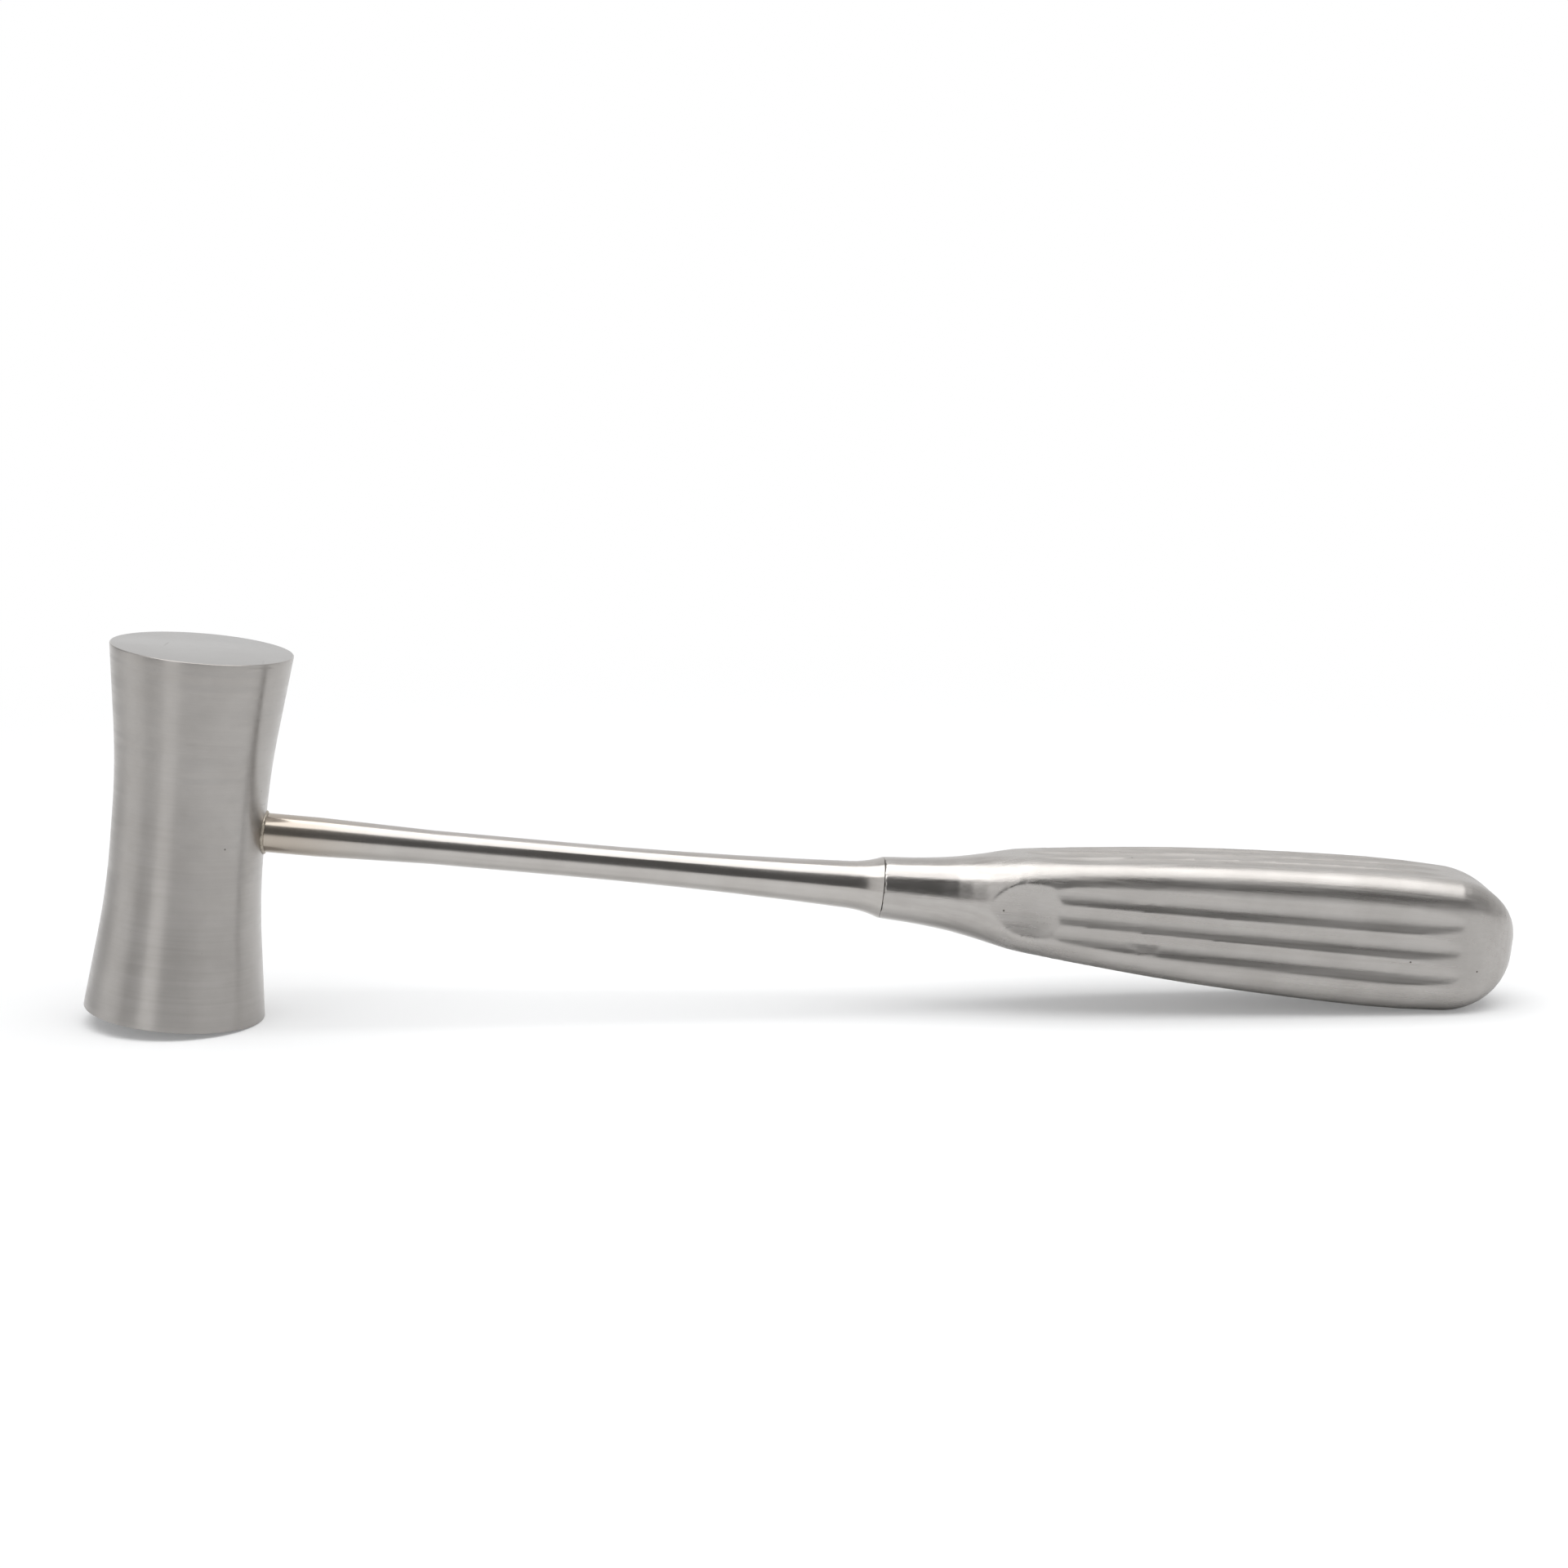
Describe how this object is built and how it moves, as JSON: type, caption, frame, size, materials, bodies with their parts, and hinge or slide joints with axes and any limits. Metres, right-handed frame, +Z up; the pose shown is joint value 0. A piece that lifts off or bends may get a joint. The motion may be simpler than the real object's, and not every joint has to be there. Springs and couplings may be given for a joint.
{
  "type": "surgical mallet",
  "caption": "All-steel bone mallet with a waisted round head, a slim round shaft and a fluted, rounded square grip, lying at rest.",
  "frame": {"origin": "on the surface it lies on, under the middle of its bounding box", "axes": "+X along the handle from the head to the butt, +Z up, with the head standing nearly upright and the handle dipping about 6 degrees to its butt"},
  "size_m": [0.2412, 0.03, 0.0641],
  "materials": {
    "head_steel": "fine circumferential satin brushing",
    "shaft_steel": "lengthwise polish",
    "grip_steel": "satin, brushed round the neck and along the grip",
    "braze": "as brazed, with a golden brown heat tint"
  },
  "bodies": {
    "root": {"head": "head_steel", "shaft": "shaft_steel", "handle": "grip_steel", "head_weld": "braze"}
  },
  "joints": []
}
